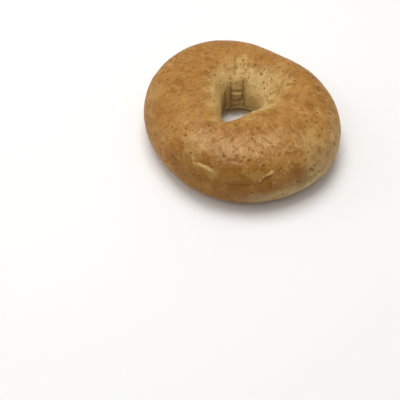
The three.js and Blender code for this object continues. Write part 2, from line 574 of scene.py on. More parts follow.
def nearest_line(lines):
    """The distance in millimetres to the nearest line, and the nearest place on it."""
    near = add(
        relief,
        "GeometryNodeProximity",
        {0: lines_on_dough(lines), "Sample Position": ragged_place},
        target_element="EDGES",
    ).node
    return combined(relief, "MULTIPLY", near.outputs["Distance"], 1 / MM), near.outputs["Position"]


print("lines stray by up to", RAGGED_REACH / 2, "mm each way")

# %% [markdown]
# ### Where a tear gapes
# A tear has an upper and a lower side, it gapes at its hearts, and elsewhere it comes and goes
# along its length. The side is told by the height of the nearest place on the line. The hearts
# are bells round their middles, and noise breaks up the rest.

# %% Sides and hearts of the tears
TEAR_BREAK_SIZE = 2.6
TEAR_BROKEN = 0.42
TEAR_WHOLE = 0.54
TEAR_TURN = 0.3 * MM

tear_away, tear_place = nearest_line(TEARS)
off_line = add(
    relief, "ShaderNodeVectorMath", {0: tear_place, 1: ragged_place}, operation="SUBTRACT"
)
height_off_line = add(relief, "ShaderNodeSeparateXYZ", {0: off_line}, give="Z")
below_line = add(
    relief, "ShaderNodeMapRange", {0: height_off_line, 1: -TEAR_TURN, 2: TEAR_TURN}
)
hearts = []
for heart, reach, wide in TEAR_HEARTS:
    to_heart = add(
        relief, "ShaderNodeVectorMath", {0: place, 1: heart}, give="Value", operation="DISTANCE"
    )
    hearts.append(combined(relief, "MULTIPLY", bell(to_heart, reach), wide))
gape = combined(relief, "MAXIMUM", *hearts)
tear_noise = add(relief, "ShaderNodeTexNoise", {"Vector": place, "Scale": 1 / TEAR_BREAK_SIZE})
tear_break = add(relief, "ShaderNodeMapRange", {0: tear_noise, 1: TEAR_BROKEN, 2: TEAR_WHOLE})
tear_whole = combined(relief, "MAXIMUM", tear_break, gape)
print("the tears gape at", len(hearts), "places")

# %% [markdown]
# ### A lip and the groove under it
# Where the skin tore, its upper edge stands up as a ragged lip, and the pale inner dough shows
# below it. A modelled flap would be sharper than dough ever is. So the lip is a bell that is
# narrow above the line and wide below it, with a shallow groove under it that catches the shade.

# %% Lip and groove of the tears
TEAR_ABOVE = 0.3
TEAR_BELOW = 0.5
TEAR_GAPE = 1.7
GROOVE_OFFSET = 1.5
GROOVE_WIDTH = 0.7
GROOVE_SHARE = 0.55

wide_below = add(
    relief, "ShaderNodeMath", {0: gape, 1: TEAR_GAPE, 2: TEAR_BELOW}, operation="MULTIPLY_ADD"
)
tear_side = add(relief, "ShaderNodeMapRange", {0: below_line, 3: TEAR_ABOVE, 4: wide_below})
tear_width = combined(relief, "MULTIPLY", given["Tear width"], tear_side)
tear_lip = combined(relief, "MULTIPLY", bell(tear_away, tear_width), tear_whole)
tear_groove = bell(tear_away, GROOVE_WIDTH, middle=GROOVE_OFFSET)
groove_below = combined(relief, "MULTIPLY", tear_groove, below_line)
tear_profile = add(
    relief,
    "ShaderNodeMath",
    {0: groove_below, 1: -GROOVE_SHARE, 2: tear_lip},
    operation="MULTIPLY_ADD",
)
tears = combined(relief, "MULTIPLY", tear_profile, given["Tear height"])
print("the groove lies", GROOVE_OFFSET, "mm from the line")

# %% [markdown]
# ### Creases and folds
# A crease is only pressed in and a fold only stands up. A bell is all that either needs, because
# a baked skin rounds off every edge.

# %% Bells along the creases and folds
crease_line = bell(nearest_line(CREASES)[0], given["Crease width"])
creases = combined(relief, "MULTIPLY", crease_line, given["Crease depth"])
fold_line = bell(nearest_line(FOLDS)[0], given["Fold width"])
folds = combined(relief, "MULTIPLY", fold_line, given["Fold height"])
print("creases", RELIEF_SIZES["Crease depth"], "and folds", RELIEF_SIZES["Fold height"], "mm")

# %% [markdown]
# ### The seam
# The seam's grooves fade out towards the lip of the hole, where the dough closed over them. Its
# hollow is a bell as well, with a reach of its own each way, and its two low bars stand up. Cut
# with a boolean, it would have edges that dough never has.

# %% Grooves, hollow and bars
SEAM_TOP = 24.0
SEAM_WHOLE = 16.5

seam_line = bell(nearest_line(SEAM_GROOVES)[0], given["Seam width"])
seam_height = add(relief, "ShaderNodeSeparateXYZ", {0: place}, give="Z")
seam_faded = add(relief, "ShaderNodeMapRange", {0: seam_height, 1: SEAM_TOP, 2: SEAM_WHOLE})
seam_groove = combined(relief, "MULTIPLY", seam_line, seam_faded)
seam_grooves = combined(relief, "MULTIPLY", seam_groove, given["Seam depth"])
from_hollow = add(
    relief, "ShaderNodeVectorMath", {0: place, 1: SEAM_HOLLOW}, operation="SUBTRACT"
)
hollow_parts = add(
    relief, "ShaderNodeVectorMath", {0: from_hollow, 1: SEAM_HOLLOW_REACH}, operation="DIVIDE"
)
hollow_away = add(
    relief, "ShaderNodeVectorMath", {0: hollow_parts}, give="Value", operation="LENGTH"
)
seam_hollow = bell(hollow_away, width=1.0)
seam_hollowed = combined(relief, "MULTIPLY", seam_hollow, given["Seam depth"])
seam_bar = bell(nearest_line(SEAM_RIDGES)[0], given["Seam ridge width"])
seam_bars = combined(relief, "MULTIPLY", seam_bar, given["Seam ridge height"])
print("the seam fades from", SEAM_WHOLE, "to", SEAM_TOP, "mm up")

# %% [markdown]
# ### All heights together
# A real skin doesn't keep its features apart: a blister can sit on a lump. So what stands up is
# added and what is pressed in is taken off, and each point moves by the result along its normal.

# %% Sum of the heights
heights = combined(
    relief,
    "ADD",
    *(lumps, dimples, wrinkles, crinkles, shrink_lines, blisters, tears, folds, seam_bars),
)
rise = combined(relief, "SUBTRACT", heights, pits, creases, seam_grooves, seam_hollowed)
outward = add(relief, "GeometryNodeInputNormal")
shift = add(
    relief,
    "ShaderNodeVectorMath",
    {0: outward, "Scale": combined(relief, "MULTIPLY", rise, MM)},
    operation="SCALE",
)
print("relief nodes so far", len(relief.nodes))

# %% [markdown]
# ### Marks for the colours
# A tear is pale and a crease is dark, so the colours have to know where the relief put them. The
# material could work that out again, but a mark stored on the mesh under a plain name always fits
# the shape.

# %% Stored marks
marked = smooth_dough
for mark_name, value in {
    "shrink line": shrink_line,
    "crinkle": crinkled,
    "tear": tear_lip,
    "crease": crease_line,
    "fold": fold_line,
    "seam groove": seam_groove,
    "seam hollow": seam_hollow,
}.items():
    marked = add(
        relief,
        "GeometryNodeStoreNamedAttribute",
        {"Geometry": marked, "Name": mark_name, "Value": value},
        data_type="FLOAT",
        domain="POINT",
    )
print("relief nodes so far", len(relief.nodes))

# %% [markdown]
# ### The flat base
# The underside baked on a flat board, so whatever would go below it is pressed flat, and only
# hollows stay. A boolean cut would leave a sharp rim. Raising each low point to the board's
# height keeps the mesh and its soft edge.

# %% Moved skin, flat base and material
# The lowest place that a point may have, in metres: the board's height, and no limit sideways.
LOWEST = (-1.0, -1.0, 0.0)

moved = add(relief, "GeometryNodeSetPosition", {"Geometry": marked, "Offset": shift})
moved_to = add(relief, "GeometryNodeInputPosition")
pressed = add(relief, "ShaderNodeVectorMath", {0: moved_to, 1: LOWEST}, operation="MAXIMUM")
flat_based = add(relief, "GeometryNodeSetPosition", {"Geometry": moved, "Position": pressed})
shaded = add(relief, "GeometryNodeSetShadeSmooth", {0: flat_based})
whole = add(relief, "GeometryNodeRealizeInstances", {0: shaded})
dressed = add(
    relief, "GeometryNodeSetMaterial", {"Geometry": whole, "Material": given["Crust"]}
)
add(relief, "NodeGroupOutput", {0: dressed})
print("relief nodes", len(relief.nodes))

# %% [markdown]
# ## The crust: boiled and baked wheat dough
# The crust is a thin skin of baked wheat dough. Boiling set its starch into a gel, so it is
# smooth and gives a soft, satin shine rather than a floury one. It is brown where the oven's
# heat caught it and pale where another piece of dough shaded it, in the hole and low on the
# sides. Bran shows as small dark specks. An image could be wrapped round the ring, but it would
# smear in the hole. So each cell below works out by rule how strongly one colour shows, and all
# of these coats are laid over plain gold at the end.

# %% Colours of the crust
CRUST_COLOURS = {
    "golden": linear("#AD7934"),
    "brown": linear("#955F19"),
    "deep brown": linear("#754711"),
    "toasted and shaded": linear("#8A5B12"),
    "straw": linear("#C4A05F"),
    "cream": linear("#DAB978"),
    "pale wall": linear("#EBCB8E"),
    "painted wall shade": linear("#80703F"),
    "olive": linear("#977D41"),
    "pale side": linear("#BCA06D"),
    "low side": linear("#A5875E"),
    "baked base": linear("#A67332"),
    "bran": linear("#875102"),
    "inner dough": linear("#E4BC79"),
}

crust = bpy.data.materials.new("boiled and baked wheat crust")
crust.use_nodes = True
looks = crust.node_tree
looks.nodes.clear()
crust_metres = add(looks, "ShaderNodeTexCoord", give="Object")
crust_place = add(
    looks, "ShaderNodeVectorMath", {0: crust_metres, "Scale": 1 / MM}, operation="SCALE"
)
height_up = add(looks, "ShaderNodeSeparateXYZ", {0: crust_place}, give="Z")
left_to_right = add(looks, "ShaderNodeSeparateXYZ", {0: crust_place}, give="X")

# A coat is the name of a colour and the share with which it covers the coats under it.
coats = []
print(len(CRUST_COLOURS), "colours of crust")

# %% [markdown]
# ### Clouds of a real size
# A crust is never even: most of what varies on it is soft clouds of noise. A noise alone is half
# grey nearly everywhere. Where an edge is given, it cuts the noise into blotches: there is none
# below the edge's first value, and the blotch is whole above its second. Each has a real size in
# millimetres and a seed of its own.

# %% Clouds and blotches
def clouds(size, detail, seed, edge=None, roughness=0.5, distortion=0.0, at=crust_place):
    """Soft clouds of a real size in millimetres, cut into blotches where an edge is given."""
    noise = add(
        looks,
        "ShaderNodeTexNoise",
        {
            "Vector": at,
            "W": seed,
            "Scale": 1 / size,
            "Detail": detail,
            "Roughness": roughness,
            "Distortion": distortion,
        },
        noise_dimensions="4D",
    )
    return eased(looks, (noise, *edge)) if edge else noise


print("clouds are 4D noise, with the seed as the fourth place")

# %% [markdown]
# ### The way the dough was stretched
# Rolling and shaping pulled the skin from the hole outwards, so its marks run like spokes. They
# could be painted one by one. A second position is quicker: it turns with the angle round the
# hole at full size, and moves only slowly from the hole to the rim. Noise that reads it comes out
# as short streaks.

# %% A position that turns noise into spokes
HOLE_MIDDLE = (2.0, 8.0, 0.0)
LEVEL = (1.0, 1.0, 0.0)
SPOKE_RING = 34.0
SPOKE_STRETCH = 3.4

from_hole = add(
    looks, "ShaderNodeVectorMath", {0: crust_place, 1: HOLE_MIDDLE}, operation="SUBTRACT"
)
level_from_hole = add(
    looks, "ShaderNodeVectorMath", {0: from_hole, 1: LEVEL}, operation="MULTIPLY"
)
away = add(
    looks, "ShaderNodeVectorMath", {0: level_from_hole}, give="Value", operation="LENGTH"
)
spoke = add(looks, "ShaderNodeVectorMath", {0: level_from_hole}, operation="NORMALIZE")
across_ring = combined(looks, "SUBTRACT", away, height_up)


def along_spokes(stretch):
    """A position that turns at full size round the hole, and is stretched across the ring."""
    slow_across = combined(looks, "MULTIPLY", across_ring, 1 / stretch)
    inwards = add(looks, "ShaderNodeCombineXYZ", {"Z": slow_across})
    return add(
        looks,
        "ShaderNodeVectorMath",
        {0: spoke, 1: (SPOKE_RING,) * 3, 2: inwards},
        operation="MULTIPLY_ADD",
    )


spoke_place = along_spokes(SPOKE_STRETCH)
print("streaks are", SPOKE_STRETCH, "times as long as wide")

# %% [markdown]
# ### Where the oven browned it
# Browning comes in soft patches about as wide as a fingertip. Noise alone would put them
# anywhere, so they are named one by one, each with a place, a width and a strength. They follow
# the crest of the ring, which stood highest in the heat. Two at the near right lip of the hole are
# painted shade instead.

# %% Browned patches: a place, a width in millimetres and a strength
BROWNED_PATCHES = [
    ((-34.8, 7.3, 30.8), 5.5, 1.0),
    ((-38.2, -10.9, 30.0), 7.0, 0.5),
    ((-19.6, -23.4, 32.9), 5.0, 0.7),
    ((-7.2, -28.6, 33.0), 4.0, 0.9),
    ((2.0, -26.4, 32.9), 4.5, 0.65),
    ((6.6, -25.6, 32.8), 3.5, 0.6),
    ((12.6, -11.0, 30.1), 6.0, 0.7),
    ((14.9, -24.0, 32.5), 4.0, 0.8),
    ((35.4, -6.3, 30.3), 4.0, 0.9),
    ((24.7, -22.8, 31.9), 4.0, 0.7),
    ((29.6, -23.8, 31.2), 4.8, 0.85),
    ((16.9, -36.1, 31.0), 3.0, 0.5),
    ((24.1, -36.9, 29.6), 3.0, 0.9),
    ((-13.9, -43.0, 29.2), 4.5, 0.9),
    ((-6.4, -44.5, 29.4), 5.0, 0.9),
    ((5.6, -45.7, 28.6), 5.0, 0.7),
    ((24.5, -45.5, 23.8), 4.5, 0.8),
    ((18.8, -48.0, 23.4), 4.5, 0.8),
    ((8.7, -51.5, 21.3), 6.0, 0.9),
    ((-2.3, -52.2, 18.9), 6.0, 0.7),
    ((11.6, 27.2, 30.0), 7.0, 0.5),
    ((16.8, 21.2, 29.9), 4.0, 0.4),
    ((-18.6, -0.8, 31.2), 3.5, 0.7),
    ((-24.6, -10.1, 32.2), 4.0, 0.5),
    ((-14.9, -35.1, 32.2), 3.5, 0.6),
    # These two patches at the near right lip of the hole are painted shade, not browning.
    ((19.5, 3.5, 26.5), 4.0, 0.6),
    ((15.8, 3.0, 22.4), 4.0, 0.9),
    ((25.8, -44.6, 24.2), 4.0, 0.9),
    ((27.2, -46.2, 21.2), 3.5, 0.8),
    ((11.5, -42.0, 30.0), 4.0, 0.5),
    ((43.6, -30.9, 23.1), 4.0, 0.4),
    ((-9.3, 21.5, 28.0), 4.0, 0.4),
    ((-13.9, 4.1, 27.6), 3.5, 0.5),
    ((27.0, 14.0, 30.3), 4.5, 0.5),
    ((47.0, -8.0, 26.5), 7.0, 0.5),
    ((-47.0, -6.0, 25.0), 9.0, 0.6),
    ((-18.2, 7.6, 30.1), 3.5, 0.6),
    ((40.3, 1.8, 29.3), 6.0, 0.6),
    ((-15.9, 29.7, 29.8), 4.0, 0.6),
    ((-22.5, 41.1, 27.1), 8.0, 0.5),
    ((-30.1, -34.5, 27.5), 7.0, 0.8),
    ((-35.4, -35.3, 20.3), 8.0, 0.8),
    ((-19.8, 15.6, 30.2), 5.5, 0.65),
    ((-16.5, 24.0, 30.0), 5.0, 0.5),
    ((-26.0, 4.0, 31.5), 5.0, 0.5),
    ((-8.0, 46.0, 24.0), 10.0, 0.6),
    ((38.0, 22.0, 24.0), 10.0, 0.6),
    ((11.5, -50.6, 22.0), 3.5, 1.0),
    ((23.0, -47.5, 20.5), 4.0, 0.7),
    ((16.5, -51.0, 19.0), 5.0, 0.8),
    ((-19.0, -42.0, 27.4), 3.0, 0.9),
    ((-26.0, 33.0, 29.0), 13.0, 0.4),
    ((-37.0, 14.0, 29.5), 12.0, 0.35),
]
print(len(BROWNED_PATCHES), "browned patches")

# %% [markdown]
# ### Where it stayed pale
# Beside the browned patches lie places that stayed the colour of straw, mostly where the skin
# dips or was stretched thin. They are named in the same way.

# %% Pale patches: a place, a width in millimetres and a strength
PALE_PATCHES = [
    ((-14.2, -8.0, 29.6), 4.5, 0.8),
    ((-12.5, -12.0, 31.0), 4.0, 0.6),
    ((2.9, -15.0, 31.0), 3.5, 0.6),
    ((31.0, -27.5, 30.6), 3.0, 0.25),
    ((-27.6, -29.5, 31.0), 4.0, 0.5),
    ((37.2, -32.0, 27.4), 6.0, 0.7),
    ((31.5, -32.5, 29.2), 5.0, 0.6),
    ((35.0, -26.0, 29.9), 3.5, 0.5),
    ((47.0, -12.0, 25.0), 4.0, 0.4),
    ((-47.0, 8.0, 24.0), 6.0, 0.3),
    ((-27.5, -35.2, 28.4), 3.5, 0.5),
    ((-17.4, -46.5, 23.0), 3.0, 0.5),
    ((21.4, -45.2, 25.4), 2.0, 0.7),
    ((21.1, 22.2, 30.4), 4.0, 0.4),
    ((18.7, 11.9, 27.1), 4.0, 0.8),
    ((23.8, 10.1, 29.0), 3.5, 0.7),
    ((15.6, 15.9, 27.6), 4.0, 0.4),
    ((-0.5, 25.4, 29.0), 4.0, 0.6),
    ((-13.4, -17.5, 31.8), 4.0, 0.6),
    ((-15.6, -47.5, 23.6), 4.0, 0.6),
    ((-22.5, -36.6, 30.0), 3.5, 0.6),
    ((13.0, -31.5, 32.4), 4.0, 0.45),
    ((5.0, -49.4, 25.2), 3.0, 0.5),
]
print(len(PALE_PATCHES), "pale patches")

# %% [markdown]
# ### The wandering edges of the patches
# A round patch would look stamped, and a painted one couldn't be moved. So each is a distance
# from its middle, read from a position that strays, and its edge wanders. A patch also keeps
# later coats off: what is brown can't be pale as well.

# %% Shares of the patches
PATCH_STRAY_SIZE = 5.0
PATCH_STRAY_REACH = 9.0
PATCH_EDGE = 1.35
PATCH_CORE = 0.6
KEEPS_OFF = 0.9

patch_place = strayed(
    looks,
    crust_place,
    size=PATCH_STRAY_SIZE,
    detail=4.0,
    reach=PATCH_STRAY_REACH,
    onto=crust_place,
)


def patches(places):
    """The share, from 0 to 1, that a list of patches has at each point."""
    shares = []
    for middle, width, strength in places:
        off_middle = add(
            looks,
            "ShaderNodeVectorMath",
            {0: patch_place, 1: middle},
            give="Value",
            operation="DISTANCE",
        )
        edge = (width * PATCH_EDGE, width * PATCH_CORE, 0.0, strength)
        shares.append(eased(looks, (off_middle, *edge)))
    return combined(looks, "MAXIMUM", *shares)


brown_share = patches(BROWNED_PATCHES)
pale_share = patches(PALE_PATCHES)
not_browned, not_pale = [
    add(looks, "ShaderNodeMath", {0: share, 1: -KEEPS_OFF, 2: 1.0}, operation="MULTIPLY_ADD")
    for share in (brown_share, pale_share)
]
coats += [("brown", brown_share), ("straw", pale_share)]
print("coats so far", [colour for colour, share in coats])

# %% [markdown]
# ### Mottles and streaks
# Between the patches the crust is clouded with brown, streaked along the spokes and mottled darker
# and lighter. There are too many of these to place one by one, so each kind is a noise of its own
# size. The light streaks are strongest on the side where the skin was pulled most.

# %% Clouds, streaks and mottles
STREAK_SIZE = 2.0
MOTTLE_SIZE = 3.2
STREAKIEST_SIDE = 305.0
STREAKIEST_EDGE = (14.0, 30.0, 0.2, 0.38)
streak = {"size": STREAK_SIZE, "detail": 1.5, "roughness": 0.45, "at": spoke_place}
mottle = {"size": MOTTLE_SIZE, "detail": 3.0, "roughness": 0.55}


def reach_towards(around):
    """How many millimetres a point lies from the bagel's middle towards a direction."""
    turned = math.radians(around)
    return add(
        looks,
        "ShaderNodeVectorMath",
        {0: crust_place, 1: (math.cos(turned), math.sin(turned), 0.0)},
        give="Value",
        operation="DOT_PRODUCT",
    )


brown_clouds = clouds(
    size=9.0, detail=4.0, seed=1.0, roughness=0.6, distortion=0.5, edge=(0.46, 0.68, 0.0, 0.4)
)
light_streaks = clouds(seed=6.0, edge=(0.54, 0.66), **streak)
pulled = eased(looks, (reach_towards(STREAKIEST_SIDE), *STREAKIEST_EDGE))
coats += [
    ("brown", brown_clouds),
    ("deep brown", clouds(seed=5.0, edge=(0.54, 0.66, 0.0, 0.2), **streak)),
    ("straw", combined(looks, "MULTIPLY", light_streaks, pulled)),
    ("deep brown", clouds(seed=7.0, edge=(0.54, 0.62, 0.0, 0.34), **mottle)),
    ("straw", clouds(seed=9.0, edge=(0.56, 0.64, 0.0, 0.28), **mottle)),
]
print("streaks", STREAK_SIZE, "mm wide, mottles", MOTTLE_SIZE, "mm")

# %% [markdown]
# ### The darker front: toasting and painted shade
# The front is darker towards the rim, partly from toasting and partly as painted shade on the
# low front. A smooth fade would look airbrushed, so noise breaks the band into blotches, and the
# pale patches stay out of it.

# %% Toast and painted shade on the front
FRONT_SIDE = 254.0
FRONT_TOAST_AND_SHADE_EDGE = (38.0, 54.0, 0.0, 0.88)

front_toast_and_shade = eased(looks, (reach_towards(FRONT_SIDE), *FRONT_TOAST_AND_SHADE_EDGE))
toast_and_shade_blotches = clouds(
    size=4.5, detail=3.0, seed=21.0, roughness=0.55, edge=(0.38, 0.58, 0.5, 1.0)
)
# Partly toast and partly painted shade, darker towards the rim on the front.
coats += [("toasted and shaded", combined(looks, "MULTIPLY", front_toast_and_shade, toast_and_shade_blotches, not_pale))]
print("toasted from", FRONT_TOAST_AND_SHADE_EDGE[0], "mm out")

# %% [markdown]
# ### Where another piece of dough shaded it
# Bagels bake close together. Their holes and the low parts of their sides see less heat and stay
# the colour of straw. The hole could be painted by hand, but a rule follows it all round: a
# distance from its middle, which shrinks down the wall, says how deep a point lies in it. Spokes
# and broad blots of noise make the edge of the pale dough ragged. The deepest dough is cream.

# %% Pale hole
PALE_HOLE_MIDDLE = (0.5, 6.0, 0.0)
# The last reach is so large that the height doesn't count.
PALE_HOLE_REACH = (18.3, 18.5, 1000.0)
WALL_EDGE = (28.0, 15.0, 1.0, 0.6)
SPOKE_WEIGHT_EDGE = (-12.0, 2.0, 0.15, 0.6)
BLOT_WEIGHT = 0.85
STRAW_EDGE = (1.8, 1.18)
CREAM_EDGE = (1.55, 0.9, 0.0, 0.95)

from_pale_middle = add(
    looks, "ShaderNodeVectorMath", {0: crust_place, 1: PALE_HOLE_MIDDLE}, operation="SUBTRACT"
)
pale_parts = add(
    looks, "ShaderNodeVectorMath", {0: from_pale_middle, 1: PALE_HOLE_REACH}, operation="DIVIDE"
)
pale_level = add(looks, "ShaderNodeVectorMath", {0: pale_parts}, give="Value", operation="LENGTH")
pale_away = combined(looks, "MULTIPLY", pale_level, eased(looks, (height_up, *WALL_EDGE)))
pale_spokes = clouds(size=3.0, detail=2.5, seed=14.0, at=spoke_place)
centred_spokes = combined(looks, "SUBTRACT", pale_spokes, NOISE_MIDDLE)
spoke_weight = eased(looks, (left_to_right, *SPOKE_WEIGHT_EDGE))
spoke_ragged = add(
    looks,
    "ShaderNodeMath",
    {0: centred_spokes, 1: spoke_weight, 2: pale_away},
    operation="MULTIPLY_ADD",
)
hole_ragged = add(
    looks,
    "ShaderNodeMath",
    {0: clouds(size=7.0, detail=3.0, seed=15.0), 1: BLOT_WEIGHT, 2: spoke_ragged},
    operation="MULTIPLY_ADD",
)
hole_pale = combined(looks, "MULTIPLY", eased(looks, (hole_ragged, *STRAW_EDGE)), not_browned)
coats += [("straw", hole_pale), ("cream", eased(looks, (hole_ragged, *CREAM_EDGE)))]
print("the hole is pale for about", PALE_HOLE_REACH[0], "mm from its middle")

# %% [markdown]
# ### Painted light and painted shade on the hole's wall
# The hole's wall is painted darker low down and on the left, as painted shade where little light
# reaches, and the painted shade fades out just above the base. One place on the right is painted
# lighter, as painted light. Each part is bounded by a few soft edges whose shares are multiplied,
# which is easier to move than a painted mask.

# %% Painted shade and painted light on the wall
PAINTED_LIGHT_ON_WALL = [((9.6, 14.2, 20.6), 4.5, 0.6)]
PAINTED_SHADE_HEIGHT = (21.0, 7.0, 0.0, 0.9)
PAINTED_SHADE_DEPTH = (0.66, 0.44)
PAINTED_SHADE_TO_LEFT = (5.0, -6.0, 0.3, 1.0)
LEFT_WALL_HEIGHT = (25.0, 9.0)
LEFT_WALL_START = (-5.0, -9.0)
LEFT_WALL_END = (-18.0, -12.0)
LEFT_WALL_REACH = (30.0, 24.0)
UNSHADED_BASE = (2.0, 7.0)

wall_painted_shade = eased(
    looks, (height_up, *PAINTED_SHADE_HEIGHT), (pale_level, *PAINTED_SHADE_DEPTH), (left_to_right, *PAINTED_SHADE_TO_LEFT)
)
left_wall_painted_shade = eased(
    looks,
    (height_up, *LEFT_WALL_HEIGHT),
    (left_to_right, *LEFT_WALL_START),
    (left_to_right, *LEFT_WALL_END),
    (away, *LEFT_WALL_REACH),
)
all_painted_shade = combined(looks, "MAXIMUM", wall_painted_shade, left_wall_painted_shade)
painted_shade_share = combined(looks, "MULTIPLY", all_painted_shade, eased(looks, (height_up, *UNSHADED_BASE)))
# Painted light on the right of the wall, then painted shade low down and on the left.
coats += [("pale wall", patches(PAINTED_LIGHT_ON_WALL)), ("painted wall shade", painted_shade_share)]
print("painted shade below", PAINTED_SHADE_HEIGHT[0], "mm and no painted shade at the base below", UNSHADED_BASE[0], "mm")

# %% [markdown]
# ### Flecks and blotches in the hole
# The pale wall is not one colour from close by. Small light flecks and small olive blotches break
# it up. They are noise again, kept to the hole by the share of its pale dough.

# %% Flecked wall
for colour, flecked in {
    "pale wall": {"size": 1.3, "seed": 33.0, "edge": (0.5, 0.62, 0.0, 0.34)},
    "olive": {"size": 1.7, "seed": 35.0, "edge": (0.55, 0.64, 0.0, 0.22)},
}.items():
    flecks = clouds(detail=2.0, roughness=0.55, **flecked)
    coats += [(colour, combined(looks, "MULTIPLY", flecks, hole_pale))]
print("coats so far", len(coats))

# %% [markdown]
# ### The pale low side and the baked base
# The side that touched a neighbour stayed pale up to a ragged edge. It is mottled, and streaked
# lighter where the skin was stretched. Low on the front right, just above the base, a band is
# painted darker and greyer, as painted shade. The edge of the base lay on the hot board and
# browned. All of this is measured from the table, with one noise to make the edges ragged.

# %% Pale low side
PALEST_SIDE = 328.0
PALEST_EDGE = (28.0, 54.0, 0.0, 0.97)
SIDE_RAGGED = 10.0
SIDE_HEIGHT = (38.0, 17.0)
LOW_SIDE = 305.0
LOW_SIDE_EDGE = (40.0, 49.0, 0.0, 0.9)
BASE_RAGGED = 6.0
LOW_SIDE_HEIGHT = (20.0, 15.0)
BASE_HEIGHT = (9.5, 4.5, 0.0, 0.8)
SIDE_LIT = 0.45

ragged_edge = clouds(size=6.0, detail=3.0, seed=13.0)
side_ragged, base_ragged = [
    add(looks, "ShaderNodeMath", {0: ragged_edge, 1: by, 2: height_up}, operation="MULTIPLY_ADD")
    for by in (SIDE_RAGGED, BASE_RAGGED)
]
side_mottles = clouds(
    size=8.0, detail=3.0, seed=37.0, roughness=0.55, distortion=0.4, edge=(0.42, 0.6, 1.0, 0.68)
)
side_low = eased(looks, (side_ragged, *SIDE_HEIGHT))
palest = eased(looks, (reach_towards(PALEST_SIDE), *PALEST_EDGE))
side_pale = combined(looks, "MULTIPLY", side_low, side_mottles, palest, not_browned)
low_side = eased(
    looks, (base_ragged, *LOW_SIDE_HEIGHT), (reach_towards(LOW_SIDE), *LOW_SIDE_EDGE)
)
side_streaks = clouds(
    size=2.6, detail=3.0, seed=19.0, roughness=0.55, at=spoke_place, edge=(0.52, 0.64)
)
coats += [
    # Painted shade: a darker, greyer band low on the front right.
    ("low side", low_side),
    ("pale side", side_pale),
    ("cream", combined(looks, "MULTIPLY", side_pale, side_streaks, SIDE_LIT)),
    ("baked base", eased(looks, (base_ragged, *BASE_HEIGHT))),
]
print("the base is browned below about", BASE_HEIGHT[0], "mm")

# %% [markdown]
# ### Scorched and shaded places
# A few small places are painted nearly burnt brown. Some caught more heat than the rest, and those
# low on the front right near the base and the one at the near right lip of the hole are partly
# painted shade. They are few enough to be named, and they come after the pale coats, so that they
# show through all of them.

# %% Scorched and shaded places: a place, a width in millimetres and a strength
SCORCHED_AND_SHADED_PLACES = [
    ((26.8, -45.6, 22.4), 3.5, 0.5),
    ((29.6, -45.0, 20.0), 4.0, 0.5),
    ((31.0, -46.0, 15.6), 4.0, 0.35),
    ((39.2, -33.4, 25.9), 2.5, 0.45),
    ((15.4, 4.4, 21.4), 3.0, 0.4),
]
coats += [("deep brown", patches(SCORCHED_AND_SHADED_PLACES))]
print(len(SCORCHED_AND_SHADED_PLACES), "scorched and shaded places")

# %% [markdown]
# ### Specks of a real size
# Whole wheat leaves specks in the skin: a few as large as a sesame seed's tip and many as fine as
# pepper. A dot stamped at each point of a list would look printed. Voronoi cells scatter them,
# each cell's colour gives its speck a width, and a position that strays gives it a ragged edge.

# %% Ragged specks in the cells of a scatter
SPECK_SOFTNESS = 0.5
SPECK_STRAY = {"size": 1.3, "detail": 2.0}
SPECK_STRAY_REACH = 2.2
NARROWEST_SPECK = 0.5
WIDEST_SPECK = 1.65

speck_place = strayed(looks, crust_place, reach=SPECK_STRAY_REACH, onto=crust_place, **SPECK_STRAY)


def specks(spacing, radius, share, seed, at=speck_place):
    """Ragged specks, one in some cells of a scatter, each of its own width."""
    own_place = add(looks, "ShaderNodeVectorMath", {0: at, 1: (seed,) * 3}, operation="ADD")
    cells = add(looks, "ShaderNodeTexVoronoi", {"Vector": own_place, "Scale": 1 / spacing}).node
    chances = add(looks, "ShaderNodeSeparateColor", {0: cells.outputs["Color"]}).node
    apart = combined(looks, "MULTIPLY", cells.outputs["Distance"], spacing)
    reach = add(
        looks,
        "ShaderNodeMapRange",
        {0: chances.outputs["Green"], 3: radius * NARROWEST_SPECK, 4: radius * WIDEST_SPECK},
    )
    spot = eased(looks, (combined(looks, "DIVIDE", apart, reach), 1.0, SPECK_SOFTNESS))
    present = combined(looks, "LESS_THAN", chances.outputs["Red"], share)
    return combined(looks, "MULTIPLY", spot, present)


print("specks from", NARROWEST_SPECK, "to", WIDEST_SPECK, "times their named radius")

# %% [markdown]
# ### Where the bran lies
# Bran isn't spread evenly: it clusters, it shows thickest in the hole's wall and in the crinkled
# patches, and a few places are clean. A share that changes from place to place says how many
# cells of the scatter hold a speck.

# %% Shares of the bran
CLEAN_PLACES = [
    ((1.2, 27.0, 29.5), 4.0, 1.0),
    ((5.0, 23.0, 27.5), 2.5, 0.9),
    ((13.6, 24.5, 30.0), 2.5, 0.9),
    ((-7.4, -26.0, 33.0), 5.0, 0.7),
    ((9.4, -18.0, 31.5), 5.0, 0.7),
    ((-41.0, -14.0, 29.0), 9.0, 0.6),
    ((-14.0, 38.0, 28.0), 17.0, 0.6),
    ((18.0, 34.0, 28.0), 12.0, 0.5),
]
BRANNY_WALL = [
    ((12.0, 11.0, 21.0), 9.0, 0.6),
    ((-1.0, 19.5, 25.0), 4.5, 0.6),
]
CRINKLED_BRAN = 0.35

bran_clusters = clouds(size=10.0, detail=2.0, seed=17.0, edge=(0.42, 0.6, 0.12, 0.8))
wall_share = patches(BRANNY_WALL)
most_bran = combined(looks, "MAXIMUM", bran_clusters, wall_share)
not_clean = combined(looks, "SUBTRACT", 1.0, patches(CLEAN_PLACES))
bran_share = combined(looks, "MULTIPLY", most_bran, not_clean)
crinkle_mark = add(looks, "ShaderNodeAttribute", give="Fac", attribute_name="crinkle")
crinkle_share = add(
    looks,
    "ShaderNodeMath",
    {0: crinkle_mark, 1: CRINKLED_BRAN, 2: bran_share},
    operation="MULTIPLY_ADD",
)
print(len(CLEAN_PLACES), "clean places")

